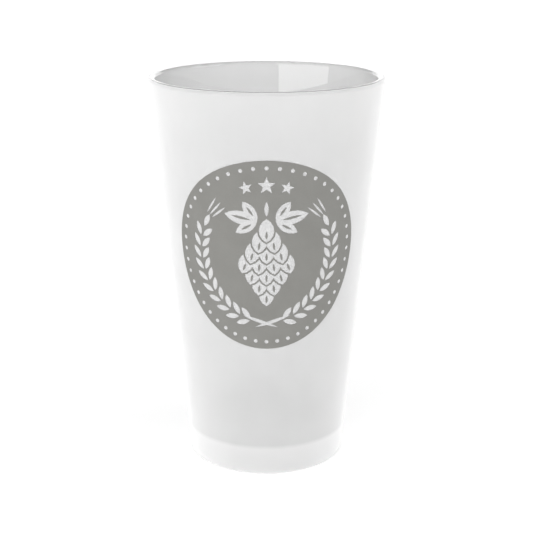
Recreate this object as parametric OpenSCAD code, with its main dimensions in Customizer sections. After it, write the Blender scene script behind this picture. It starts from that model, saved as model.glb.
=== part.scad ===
// Frosted pint glass with a round printed badge.
// A pressed tapered tumbler, a satin coat on its outside wall and a one-colour print on the coat.
// The origin is the centre of the foot, on the table. +Z is up, and the badge faces -Y.

/* [Glass] */
// Height from the table to the top of the lip
height = 149.2; // [140:0.1:160]
// Widest diameter, across the outside of the lip
mouth_d = 88.9; // [84:0.1:95]
// Diameter at which the outside wall would meet the table, if its edge were sharp
base_d = 60.3; // [57:0.1:66]
// Wall thickness at the lip, which is rounded all the way over
lip_wall = 2.9; // [2:0.1:3.6]
// Wall thickness at the height of the inside floor
floor_wall = 6.3; // [4:0.1:7]
// Height of the inside floor above the table
base_thick = 9.8; // [7:0.1:14]
// Radius of the inside corner between the floor and the wall
corner_r = 5; // [2:0.5:8]

/* [Foot] */
// Radius of the outside edge that stands on the table
heel_r = 1; // [0.6:0.1:2]
// Radius of the shallow hollow under the base
hollow_r = 22; // [16:0.5:25]
// Depth of that hollow in its middle
hollow_depth = 1.2; // [0.4:0.1:2]

/* [Satin coat] */
// Thickness of the satin coat
coat_t = 0.12; // [0.1:0.01:0.2]

/* [Badge] */
// Thickness of the printed ink
ink_t = 0.1; // [0.08:0.01:0.2]
// Radius of the badge, measured along the wall
badge_r = 36; // [34:0.5:37]
// Height of the badge's centre above the table
badge_z = 89.2; // [80:0.1:96]
// Number of beads around the edge
bead_count = 48; // [36:1:60]
// Radius of one bead
bead_r = 0.75; // [0.5:0.05:0.9]
// Length of one barley grain
grain_length = 5.4; // [4.5:0.1:5.6]
// Width of one barley grain
grain_width = 2.1; // [1.7:0.1:2.2]
// Pairs of grains in each ear of barley
grain_pairs = 10; // [8:1:11]
// Length of one scale of the hop cone
scale_length = 9; // [8:0.1:9.4]
// Width of one scale of the hop cone
scale_width = 5.6; // [5:0.1:6]
// Width of the lines of ink between the scales
line_w = 0.6; // [0.4:0.05:0.8]

/* [Hidden] */
$fn = 96;

// Steps in each rounded stretch of the profile
lip_steps = 18;
corner_steps = 12;
heel_steps = 8;
hollow_steps = 10;
// Step of the heel's rounding at which the coat starts, just clear of the table, and step of
// the lip's rounding at which it ends
coat_first_step = 3;
coat_last_step = 6;
// Points around the badge's edge, and along each side of a pointed oval
badge_steps = 96;
oval_steps = 6;

// The badge's drawing. A pair is a length and a width, or a place across and up from the
// badge's centre. Angles round the badge start at its right and rise against the clock.
bead_inset = 2.8;

ear_r = 25.2;
ear_foot_angle = -70;
ear_half_width = 1.9;
pair_angle = 10;
grain_splay = 34;
awn = [7.5, 0.8];
awn_gap = 1.8;
awn_lead = 13.5;
awn_splay = 9;
stalk = [14, 1.4];
stalk_lead = 14.5;
stalk_lift = 14;

star_row_r = 26.8;
star_gap = 15;
middle_star_r = 3.4;
side_star_r = 2.6;
star_waist = 0.42;

// Scales in each row of the hop cone, from its tip upward
hop_rows = [1, 2, 3, 4, 3, 2, 1];
hop_tip = -14.5;
row_rise = 4.1;
scale_gap = 4.9;
scale_fan = 2.6;
scale_vein = [3, 0.8];
hop_stem = [5.6, 1.6];
hop_stem_height = 18.2;

leaf_foot = [3.3, 13.6];
leaf_turn = -78;
lobe_angle = 42;
long_lobe = [12, 5];
short_lobe = [9, 4];
long_vein = [7, 0.9];
short_vein = [4, 0.8];

lip_r = lip_wall / 2;
lip_center = [mouth_d / 2 - lip_r, height - lip_r];

// Lean of a straight line that starts at a point and touches the lip's circle.
// side is 1 where the circle lies inside of the line, and -1 where it lies outside of it.
function lean_to_lip(point, side) =
    let (v = lip_center - point)
    atan2(v[0], v[1]) + side * asin(lip_r / norm(v));

// Centre of a circle that rounds the corner between a level line at height z and a line that
// leaves it at radius r with the given lean
function corner_center(r, z, lean, round_r) =
    [r + round_r * tan(lean) - round_r / cos(lean), z + round_r];

function arc(center, r, from, to, steps) =
    [for (i = [0 : steps]) center + polar(r, from + (to - from) * i / steps)];

function polar(r, angle) = r * [cos(angle), sin(angle)];

lean = lean_to_lip([base_d / 2, 0], 1);
function wall_r(z) = base_d / 2 + z * tan(lean);

floor_r = wall_r(base_thick) - floor_wall;
inner_lean = lean_to_lip([floor_r, base_thick], -1);
heel_center = corner_center(base_d / 2, 0, lean, heel_r);

// A point on the outside wall at height z, raised along the wall's normal
function raised(z, out) = [wall_r(z), z] + polar(out, -lean);

// The heel's rounding, from the given step up to where it meets the wall
function heel_arc(out, first) =
    [for (i = [first : heel_steps])
        heel_center + polar(heel_r + out, -90 + (90 - lean) * i / heel_steps)];

// The lip's rounding, from where it meets the outside wall up to the given step
function lip_arc(out, last) =
    [for (i = [0 : last])
        lip_center + polar(lip_r + out, -lean + (180 - inner_lean + lean) * i / lip_steps)];

function reversed(points) = [for (i = [len(points) - 1 : -1 : 0]) points[i]];

// The hollow under the base is part of a ball
hollow_ball_r = (hollow_r * hollow_r + hollow_depth * hollow_depth) / (2 * hollow_depth);
hollow_rim_angle = 90 - asin(hollow_r / hollow_ball_r);

module glass_body() {
    color([0.88, 0.92, 0.92, 0.6])
    rotate_extrude()
    polygon(concat(
        arc([0, hollow_depth - hollow_ball_r], hollow_ball_r, 90, hollow_rim_angle, hollow_steps),
        heel_arc(0, 0),
        lip_arc(0, lip_steps),
        arc(corner_center(floor_r, base_thick, inner_lean, corner_r), corner_r,
            -inner_lean, -90, corner_steps),
        [[0, base_thick]]
    ));
}

// The coat follows the outside from partway round the heel, up the wall and over the lip's edge
module frosted_coat() {
    color([0.94, 0.95, 0.95])
    rotate_extrude()
    polygon(concat(
        heel_arc(coat_t, coat_first_step),
        lip_arc(coat_t, coat_last_step),
        reversed(lip_arc(0, coat_last_step)),
        reversed(heel_arc(0, coat_first_step))
    ));
}

// Radius at which the badge is measured along the wall, at its centre's height
badge_wall_r = wall_r(badge_z);
function around(u) = u / badge_wall_r * 180 / PI;

// How far a cut runs out from the axis, so that it passes through the wall
cut_reach = mouth_d / 2 + 1;

// A layer of ink on the coat, all the way round, a little taller than the badge
module ink_layer() {
    low = badge_z - badge_r - 1;
    high = badge_z + badge_r + 1;
    rotate_extrude()
    polygon([
        raised(low, coat_t),
        raised(low, coat_t + ink_t),
        raised(high, coat_t + ink_t),
        raised(high, coat_t)
    ]);
}

// Cuts a flat shape out through the wall, at a place measured along the wall from the badge's centre
module on_wall(place, turn = 0) {
    rotate([0, 0, around(place[0])])
    translate([0, 0, badge_z + place[1]])
    rotate([90, 0, 0])
    linear_extrude(height = cut_reach)
    rotate(turn)
    children();
}

// The badge's round outline, wrapped on the wall
module badge_disc() {
    rotate([90, 0, 0])
    linear_extrude(height = cut_reach)
    polygon([for (i = [0 : badge_steps - 1])
        let (p = polar(badge_r, 360 * i / badge_steps))
        [wall_r(badge_z + p[1]) * sin(around(p[0])), badge_z + p[1]]]);
}

// An upright pointed oval with the given length and width: two arcs that meet at its ends
module pointed_oval(size) {
    r = (size[0] * size[0] + size[1] * size[1]) / (4 * size[1]);
    half = asin(size[0] / 2 / r);
    polygon([for (side = [1, -1], i = [0 : oval_steps - 1])
        side * ([size[1] / 2 - r, 0] + polar(r, half * (2 * i / oval_steps - 1)))]);
}

module star(r) {
    polygon([for (i = [0 : 9]) polar(i % 2 == 0 ? r : r * star_waist, 90 + 36 * i)]);
}

module bead_ring() {
    for (i = [0 : bead_count - 1])
        on_wall(polar(badge_r - bead_inset, 360 * i / bead_count)) circle(bead_r);
}

// Both ears of barley curve up round the badge from crossed stalks at its foot
module barley_ear(side) {
    tip_angle = ear_foot_angle + pair_angle * grain_pairs;
    for (i = [0 : grain_pairs - 1], row = [-1, 1])
        on_ear(side, row * ear_half_width, ear_foot_angle + pair_angle * i, -row * grain_splay)
        pointed_oval([grain_length, grain_width]);
    on_ear(side, 0, tip_angle) pointed_oval([grain_length, grain_width]);
    for (i = [-1 : 1])
        on_ear(side, i * awn_gap, tip_angle + awn_lead, -i * awn_splay) pointed_oval(awn);
    on_ear(side, 0, ear_foot_angle - stalk_lead, stalk_lift) pointed_oval(stalk);
}

// Places a shape along an ear, raised out from its middle line and turned from it
module on_ear(side, out, angle, turn = 0) {
    p = polar(ear_r + out, angle);
    on_wall([side * p[0], p[1]], side * (angle + turn)) children();
}

module stars() {
    for (i = [-1 : 1])
        on_wall(polar(star_row_r, 90 + star_gap * i), star_gap * i)
        star(i == 0 ? middle_star_r : side_star_r);
}

// The scales hang in rows, counted from the cone's tip upward, and each row covers the one below
module hop_row(row) {
    for (k = [0 : hop_rows[row] - 1]) {
        u = (k - (hop_rows[row] - 1) / 2) * scale_gap;
        translate([u, hop_tip + row * row_rise]) rotate(scale_fan * u) children();
    }
}

module hop_cone() {
    line = 2 * line_w * [1, 1];
    top = len(hop_rows) - 1;
    for (row = [0 : top])
        difference() {
            hop_row(row) pointed_oval([scale_length, scale_width]);
            for (above = [row + 1 : 1 : min(row + 2, top)])
                hop_row(above) pointed_oval([scale_length, scale_width] + line);
        }
}

// A leaf of three lobes spreads to each side of the hop cone's top
module hop_leaves() {
    for (side = [-1, 1])
        translate([side * leaf_foot[0], leaf_foot[1]])
        rotate(side * leaf_turn)
        for (i = [-1 : 1])
            rotate(i * lobe_angle)
            translate([0, (i == 0 ? long_lobe : short_lobe)[0] / 2])
            children(abs(i));
}

module badge_field() {
    color([0.57, 0.57, 0.55])
    difference() {
        intersection() {
            ink_layer();
            badge_disc();
        }
        bead_ring();
        barley_ear(-1);
        barley_ear(1);
        stars();
        on_wall([0, 0]) hop_cone();
        on_wall([0, 0]) hop_leaves() {
            pointed_oval(long_lobe);
            pointed_oval(short_lobe);
        }
        on_wall([0, hop_stem_height]) pointed_oval(hop_stem);
    }
}

// Ink islands inside the knocked-out scales and leaves
module badge_veins() {
    color([0.57, 0.57, 0.55])
    intersection() {
        ink_layer();
        on_wall([0, 0]) {
            for (row = [0 : len(hop_rows) - 1])
                hop_row(row) translate([0, -scale_length / 5]) pointed_oval(scale_vein);
            hop_leaves() {
                pointed_oval(long_vein);
                pointed_oval(short_vein);
            }
        }
    }
}

glass_body();
frosted_coat();
badge_field();
badge_veins();
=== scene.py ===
"""A frosted pint glass with a printed badge, on a pale floor.

Metres. The glass stands on the origin with its badge towards -Y.
"""

import math

import bmesh
import bpy
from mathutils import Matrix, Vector


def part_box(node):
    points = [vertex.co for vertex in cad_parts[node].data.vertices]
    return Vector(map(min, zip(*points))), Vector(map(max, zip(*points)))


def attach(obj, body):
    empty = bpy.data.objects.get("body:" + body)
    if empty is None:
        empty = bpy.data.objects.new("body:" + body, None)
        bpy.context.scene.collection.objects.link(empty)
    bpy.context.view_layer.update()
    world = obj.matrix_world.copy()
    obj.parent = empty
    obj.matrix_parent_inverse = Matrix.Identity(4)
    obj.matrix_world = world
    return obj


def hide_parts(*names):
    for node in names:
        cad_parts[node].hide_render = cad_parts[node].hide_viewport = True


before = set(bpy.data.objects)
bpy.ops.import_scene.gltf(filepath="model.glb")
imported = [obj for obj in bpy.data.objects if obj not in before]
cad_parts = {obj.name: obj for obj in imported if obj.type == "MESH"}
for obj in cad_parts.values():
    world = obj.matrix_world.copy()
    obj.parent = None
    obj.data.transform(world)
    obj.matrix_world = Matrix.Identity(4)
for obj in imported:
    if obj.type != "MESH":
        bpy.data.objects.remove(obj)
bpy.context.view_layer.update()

MM = 0.001

# ---------------------------------------------------------------- sizes
# The height and the mouth come from the frame, and the rest are those of the frame's own solids.

GLASS_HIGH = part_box("glass_body")[1]
HEIGHT = GLASS_HIGH.z
MOUTH_R = GLASS_HIGH.x
LIP_R = 1.45 * MM
BASE_R = 30.15 * MM
FLOOR_WALL = 6.3 * MM
BASE_THICK = 9.8 * MM
CORNER_R = 5 * MM
HEEL_R = 1 * MM
HOLLOW_R = 22 * MM
HOLLOW_DEPTH = 1.2 * MM
COAT_T = 0.12 * MM
# How far the coat's inner face is sunk into the glass
COAT_EMBED = 0.05 * MM
# Share of the heel's rounding that is left bare, so that the coat is clear of the table
HEEL_BARE = 3 / 8
# Faces round the axis, and steps along the straight wall
SEGMENTS = 192
WALL_STEPS = 60
# Points closer than this are one point
SAME_POINT = 1e-7

# ---------------------------------------------------------------- looks

# A SCALE is a noise's fineness per metre, and a HEIGHT is how far it raises the surface
GLASS_TINT = 0.985
GLASS_IOR = 1.52
CLEAR_ROUGH = (0.012, 0.04)
POLISH_SCALE = 90
WAVE_SCALE = 45
WAVE_HEIGHT = 0.02 * MM
ETCH_ROUGH = (0.32, 0.38)
ETCH_SCALE = 1400
ETCH_HEIGHT = 0.002 * MM
# The coat covers this share of what lies behind it, seen face on. Round the solid base it covers more,
# up to the edge height set below; that extra cover is painted light, a brighter base in place of light
# caught in the thick glass.
# It goes over to the thinner cover within the step set below.
VEIL_ALPHA = 0.36
BASE_PAINTED_LIGHT_ALPHA = 0.47
PAINTED_LIGHT_TOP_Z = 11.4 * MM
PAINTED_LIGHT_STEP = 0.9 * MM
# The least cosine of the angle of view, so that the coat's depth has a limit at its outline
LEAST_COSINE = 0.05
VEIL_WHITES = (0.87, 0.93)
VEIL_CLOUD_SCALE = 60
VEIL_ROUGH = (0.75, 0.85)
VEIL_SCALE = 1800
VEIL_HEIGHT = 0.003 * MM
INK_DARK = (0.182, 0.180, 0.167, 1)
INK_PALE = (0.222, 0.220, 0.206, 1)
INK_CLOUD_SCALE = 110
INK_ROUGH = (0.55, 0.7)
INK_SCALE = 2200
INK_HEIGHT = 0.004 * MM
# Most of a noise lies between these two values, and the rest is held at them
NOISE_LOW = 0.3
NOISE_HIGH = 0.7

# ---------------------------------------------------------------- values for the room

PANEL_DISTANCE = 2.6
FLOOR_HALF = 12
# The floor lies this far under the foot, so that the two faces don't share a plane
FLOOR_GAP = 0.02 * MM
FLOOR_WHITE = (0.95, 0.95, 0.95, 1)
FLOOR_ROUGH = 0.9
FLOOR_GLOW = 0.13
WORLD_STRENGTH = 0.72
CAMERA_PLACE = (0, -0.4675, 0.2119)
CAMERA_DOWN = math.radians(16.39)
CAMERA_LENS = 84.0

# ---------------------------------------------------------------- the profile


def polar(r, angle):
    return Vector((r * math.cos(angle), r * math.sin(angle)))


def lean_to_lip(point, side):
    """Lean of a line from point that touches the lip's circle.

    side is 1 where the circle lies inside of the line, and -1 where it lies outside of it.
    """
    v = LIP_CENTER - point
    return math.atan2(v.x, v.y) + side * math.asin(LIP_R / v.length)


def corner_center(r, z, lean, round_r):
    """Centre of a rounding between a level line at z and a line that leaves it at r."""
    return Vector((r + round_r * math.tan(lean) - round_r / math.cos(lean), z + round_r))


def arc(center, r, start, end, steps):
    return [center + polar(r, start + (end - start) * i / steps) for i in range(steps + 1)]


def line(a, b, steps):
    """The points between a and b, without the two ends."""
    return [a.lerp(b, i / steps) for i in range(1, steps)]


RIGHT_ANGLE = math.pi / 2
LIP_CENTER = Vector((MOUTH_R - LIP_R, HEIGHT - LIP_R))
LEAN = lean_to_lip(Vector((BASE_R, 0)), 1)
FLOOR_R = BASE_R + BASE_THICK * math.tan(LEAN) - FLOOR_WALL
INNER_LEAN = lean_to_lip(Vector((FLOOR_R, BASE_THICK)), -1)
# The coat ends a third of the way over the lip's rounding
COAT_LIP_ANGLE = -LEAN + (math.pi - INNER_LEAN + LEAN) / 3
HEEL_CENTER = corner_center(BASE_R, 0, LEAN, HEEL_R)
CORNER_CENTER = corner_center(FLOOR_R, BASE_THICK, INNER_LEAN, CORNER_R)
# The coat starts partway round the heel
COAT_HEEL_ANGLE = -RIGHT_ANGLE + (RIGHT_ANGLE - LEAN) * HEEL_BARE

# ---------------------------------------------------------------- lathed meshes


def lathe(name, profile, materials, bands):
    """Turns a closed profile, given anticlockwise as (r, z), round the Z axis.

    bands[i] is the material of the stretch that runs from point i to the next.
    """
    mesh = bpy.data.meshes.new(name)
    bm = bmesh.new()
    rings = []
    for p in profile:
        if p.x < SAME_POINT:
            rings.append([bm.verts.new((0, 0, p.y))])
            continue
        rings.append(
            [
                bm.verts.new((p.x * math.cos(a), p.x * math.sin(a), p.y))
                for a in (2 * math.pi * k / SEGMENTS for k in range(SEGMENTS))
            ]
        )
    count = len(rings)
    for i in range(count):
        low, high = rings[i], rings[(i + 1) % count]
        if len(low) == 1 and len(high) == 1:
            continue
        for k in range(SEGMENTS):
            n = (k + 1) % SEGMENTS
            corners = []
            corners += [low[0]] if len(low) == 1 else [low[k], low[n]]
            corners += [high[0]] if len(high) == 1 else [high[n], high[k]]
            face = bm.faces.new(corners)
            face.smooth = True
            face.material_index = bands[i]
    bmesh.ops.recalc_face_normals(bm, faces=bm.faces)
    bm.to_mesh(mesh)
    bm.free()
    for m in materials:
        mesh.materials.append(m)
    obj = bpy.data.objects.new(name, mesh)
    bpy.context.scene.collection.objects.link(obj)
    return obj


# ---------------------------------------------------------------- materials


def new_material(name):
    mat = bpy.data.materials.new(name)
    mat.use_nodes = True
    return mat, mat.node_tree.nodes, mat.node_tree.links, mat.node_tree.nodes["Principled BSDF"]


def noise(nodes, links, scale, detail=3.0, rough=0.5):
    place = nodes.new("ShaderNodeTexCoord")
    tex = nodes.new("ShaderNodeTexNoise")
    tex.inputs["Scale"].default_value = scale
    tex.inputs["Detail"].default_value = detail
    tex.inputs["Roughness"].default_value = rough
    links.new(place.outputs["Object"], tex.inputs["Vector"])
    return tex


def spread(nodes, links, source, span):
    """Maps a noise's output to a span, given as its low and high ends."""
    out = nodes.new("ShaderNodeMapRange")
    out.inputs["From Min"].default_value = NOISE_LOW
    out.inputs["From Max"].default_value = NOISE_HIGH
    out.inputs["To Min"].default_value = span[0]
    out.inputs["To Max"].default_value = span[1]
    links.new(source.outputs["Fac"], out.inputs["Value"])
    return out


def bump(nodes, links, source, shader, height):
    node = nodes.new("ShaderNodeBump")
    node.inputs["Strength"].default_value = 1.0
    node.inputs["Distance"].default_value = height
    links.new(source.outputs["Fac"], node.inputs["Height"])
    links.new(node.outputs["Normal"], shader.inputs["Normal"])


def calc(nodes, links, operation, *values):
    """A maths node on numbers or other nodes' outputs."""
    node = nodes.new("ShaderNodeMath")
    node.operation = operation
    for socket, value in zip(node.inputs, values):
        if isinstance(value, (int, float)):
            socket.default_value = value
        else:
            links.new(value, socket)
    return node.outputs[0]


def clear_glass():
    """Pressed soda-lime glass, with the mould's slow waviness and a slightly uneven polish."""
    mat, nodes, links, shader = new_material("clear_glass")
    shader.inputs["Base Color"].default_value = (GLASS_TINT, GLASS_TINT, GLASS_TINT, 1)
    shader.inputs["IOR"].default_value = GLASS_IOR
    shader.inputs["Transmission Weight"].default_value = 1.0
    polish = noise(nodes, links, POLISH_SCALE)
    rough = spread(nodes, links, polish, CLEAR_ROUGH)
    links.new(rough.outputs["Result"], shader.inputs["Roughness"])
    wave = noise(nodes, links, WAVE_SCALE, 1.0)
    bump(nodes, links, wave, shader, WAVE_HEIGHT)
    return mat


def etched_glass():
    """The outside of the same glass under the satin finish, which scatters what comes through."""
    mat, nodes, links, shader = new_material("etched_glass")
    shader.inputs["Base Color"].default_value = (GLASS_TINT, GLASS_TINT, GLASS_TINT, 1)
    shader.inputs["IOR"].default_value = GLASS_IOR
    shader.inputs["Transmission Weight"].default_value = 1.0
    grain = noise(nodes, links, ETCH_SCALE)
    rough = spread(nodes, links, grain, ETCH_ROUGH)
    links.new(rough.outputs["Result"], shader.inputs["Roughness"])
    bump(nodes, links, grain, shader, ETCH_HEIGHT)
    return mat


def satin_veil():
    """The satin finish's matt white. Seen aslant it covers more, as a thin layer does."""
    mat, nodes, links, shader = new_material("satin_coat")
    facing = nodes.new("ShaderNodeLayerWeight")
    facing.inputs["Blend"].default_value = 0.5
    cosine = calc(nodes, links, "SUBTRACT", 1.0, facing.outputs["Facing"])
    depth = calc(nodes, links, "DIVIDE", 1.0, calc(nodes, links, "MAXIMUM", cosine, LEAST_COSINE))
    place = nodes.new("ShaderNodeTexCoord")
    split = nodes.new("ShaderNodeSeparateXYZ")
    links.new(place.outputs["Object"], split.inputs["Vector"])
    # Painted light: the white coat is drawn denser round the solid base, which brightens the base in
    # place of light caught in the thick glass
    cover_and_painted_base_light = nodes.new("ShaderNodeMapRange")
    cover_and_painted_base_light.inputs["From Min"].default_value = PAINTED_LIGHT_TOP_Z - PAINTED_LIGHT_STEP
    cover_and_painted_base_light.inputs["From Max"].default_value = PAINTED_LIGHT_TOP_Z + PAINTED_LIGHT_STEP
    cover_and_painted_base_light.inputs["To Min"].default_value = 1 - BASE_PAINTED_LIGHT_ALPHA
    cover_and_painted_base_light.inputs["To Max"].default_value = 1 - VEIL_ALPHA
    links.new(split.outputs["Z"], cover_and_painted_base_light.inputs["Value"])
    passing = calc(nodes, links, "POWER", cover_and_painted_base_light.outputs["Result"], depth)
    links.new(calc(nodes, links, "SUBTRACT", 1.0, passing), shader.inputs["Alpha"])
    cloud = noise(nodes, links, VEIL_CLOUD_SCALE)
    tone = nodes.new("ShaderNodeValToRGB")
    for element, white in zip(tone.color_ramp.elements, VEIL_WHITES):
        element.color = (white, white, white, 1)
    links.new(cloud.outputs["Fac"], tone.inputs["Fac"])
    links.new(tone.outputs["Color"], shader.inputs["Base Color"])
    grain = noise(nodes, links, VEIL_SCALE)
    rough = spread(nodes, links, grain, VEIL_ROUGH)
    links.new(rough.outputs["Result"], shader.inputs["Roughness"])
    shader.inputs["IOR"].default_value = GLASS_IOR
    bump(nodes, links, grain, shader, VEIL_HEIGHT)
    return mat


def grey_ink():
    """Matt warm grey ink with a faint cloudiness and a fine grain."""
    mat, nodes, links, shader = new_material("grey_ink")
    cloud = noise(nodes, links, INK_CLOUD_SCALE, 4.0)
    tone = nodes.new("ShaderNodeValToRGB")
    tone.color_ramp.elements[0].color = INK_DARK
    tone.color_ramp.elements[1].color = INK_PALE
    links.new(cloud.outputs["Fac"], tone.inputs["Fac"])
    links.new(tone.outputs["Color"], shader.inputs["Base Color"])
    grain = noise(nodes, links, INK_SCALE)
    rough = spread(nodes, links, grain, INK_ROUGH)
    links.new(rough.outputs["Result"], shader.inputs["Roughness"])
    bump(nodes, links, grain, shader, INK_HEIGHT)
    return mat


# ---------------------------------------------------------------- the tumbler

CLEAR, ETCHED = 0, 1


def tumbler():
    """The pressed glass as one closed surface, etched where the coat lies and clear elsewhere."""
    ball_r = (HOLLOW_R**2 + HOLLOW_DEPTH**2) / (2 * HOLLOW_DEPTH)
    ball_center = Vector((0, HOLLOW_DEPTH - ball_r))
    rim = math.asin(HOLLOW_R / ball_r)
    heel = arc(HEEL_CENTER, HEEL_R, COAT_HEEL_ANGLE, -LEAN, 6)
    lip = arc(LIP_CENTER, LIP_R, -LEAN, COAT_LIP_ANGLE, 12)
    parts = [
        (CLEAR, arc(ball_center, ball_r, RIGHT_ANGLE, RIGHT_ANGLE - rim, 24)),
        (CLEAR, arc(HEEL_CENTER, HEEL_R, -RIGHT_ANGLE, COAT_HEEL_ANGLE, 4)),
        (ETCHED, heel + line(heel[-1], lip[0], WALL_STEPS) + lip),
        (CLEAR, arc(LIP_CENTER, LIP_R, COAT_LIP_ANGLE, math.pi - INNER_LEAN, 18)),
        (CLEAR, arc(CORNER_CENTER, CORNER_R, -INNER_LEAN, -RIGHT_ANGLE, 16)),
        (CLEAR, [Vector((0, BASE_THICK))]),
    ]
    profile, bands = [], []
    for material, points in parts:
        for p in points:
            if profile and (p - profile[-1]).length < SAME_POINT:
                bands[-1] = material
                continue
            profile.append(p)
            bands.append(material)
    obj = lathe("tumbler", profile, [clear_glass(), etched_glass()], bands)
    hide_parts("glass_body")
    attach(obj, "root")


def satin_coat():
    """A thin shell on the outside, from partway round the heel, up the wall and over the lip's edge."""
    sides = []
    for out in (COAT_T, -COAT_EMBED):
        heel = arc(HEEL_CENTER, HEEL_R + out, COAT_HEEL_ANGLE, -LEAN, 8)
        lip = arc(LIP_CENTER, LIP_R + out, -LEAN, COAT_LIP_ANGLE, 12)
        sides.append(heel + line(heel[-1], lip[0], WALL_STEPS) + lip)
    outer, inner = sides
    profile = outer + inner[::-1]
    obj = lathe("satin_coat", profile, [satin_veil()], [0] * len(profile))
    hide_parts("frosted_coat")
    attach(obj, "root")


tumbler()
satin_coat()

ink = grey_ink()
for node_name in ("badge_field", "badge_veins"):
    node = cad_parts[node_name]
    node.data.materials.clear()
    node.data.materials.append(ink)

# ---------------------------------------------------------------- the room: floor, light and camera


def floor():
    mesh = bpy.data.meshes.new("floor")
    s, z = FLOOR_HALF, -FLOOR_GAP
    mesh.from_pydata([(-s, -s, z), (s, -s, z), (s, s, z), (-s, s, z)], [], [(0, 1, 2, 3)])
    obj = bpy.data.objects.new("floor", mesh)
    bpy.context.scene.collection.objects.link(obj)
    mat, nodes, links, shader = new_material("floor")
    shader.inputs["Base Color"].default_value = FLOOR_WHITE
    shader.inputs["Roughness"].default_value = FLOOR_ROUGH
    shader.inputs["Emission Color"].default_value = (1, 1, 1, 1)
    shader.inputs["Emission Strength"].default_value = FLOOR_GLOW
    mesh.materials.append(mat)


def softbox(name, turn, tilt, width, height, radiance):
    """A flat light panel that faces the glass.

    turn runs from the camera's side towards -X and tilt upward. The panel's width and height are
    the angles it fills as seen from the glass. All four are in degrees.
    """
    turn, tilt = math.radians(turn), math.radians(tilt)
    data = bpy.data.lights.new(name, "AREA")
    data.shape = "RECTANGLE"
    data.size = 2 * PANEL_DISTANCE * math.tan(math.radians(width) / 2)
    data.size_y = 2 * PANEL_DISTANCE * math.tan(math.radians(height) / 2)
    data.energy = 4 * radiance * data.size * data.size_y
    obj = bpy.data.objects.new(name, data)
    away = Vector((-math.sin(turn) * math.cos(tilt), -math.cos(turn) * math.cos(tilt), math.sin(tilt)))
    obj.location = away * PANEL_DISTANCE
    obj.rotation_euler = away.to_track_quat("Z", "Y").to_euler()
    bpy.context.scene.collection.objects.link(obj)


def surroundings():
    world = bpy.data.worlds.new("studio")
    bpy.context.scene.world = world
    world.use_nodes = True
    back = world.node_tree.nodes["Background"]
    back.inputs["Color"].default_value = (1, 1, 1, 1)
    back.inputs["Strength"].default_value = WORLD_STRENGTH


def camera():
    data = bpy.data.cameras.new("camera")
    data.sensor_width = 36
    data.lens = CAMERA_LENS
    data.clip_start = 0.01
    data.clip_end = 100
    obj = bpy.data.objects.new("camera", data)
    obj.location = CAMERA_PLACE
    obj.rotation_euler = (RIGHT_ANGLE - CAMERA_DOWN, 0, 0)
    bpy.context.scene.collection.objects.link(obj)
    bpy.context.scene.camera = obj


floor()
softbox("key", 42.5, 17, 57, 29, 1.9)
softbox("back_left", 122, 14, 50, 25, 0.1)
softbox("back", 180, 13, 64, 25, 0.85)
softbox("right", -75, 26, 40, 28, 1.4)
softbox("front_high", -15, 42, 80, 35, 0.4)
surroundings()
camera()

scene = bpy.context.scene
scene.view_settings.view_transform = "Standard"
# Light crosses the glass and the coat many times before it leaves
scene.cycles.max_bounces = 32
scene.cycles.diffuse_bounces = 12
scene.cycles.glossy_bounces = 12
scene.cycles.transmission_bounces = 24
scene.cycles.transparent_max_bounces = 32
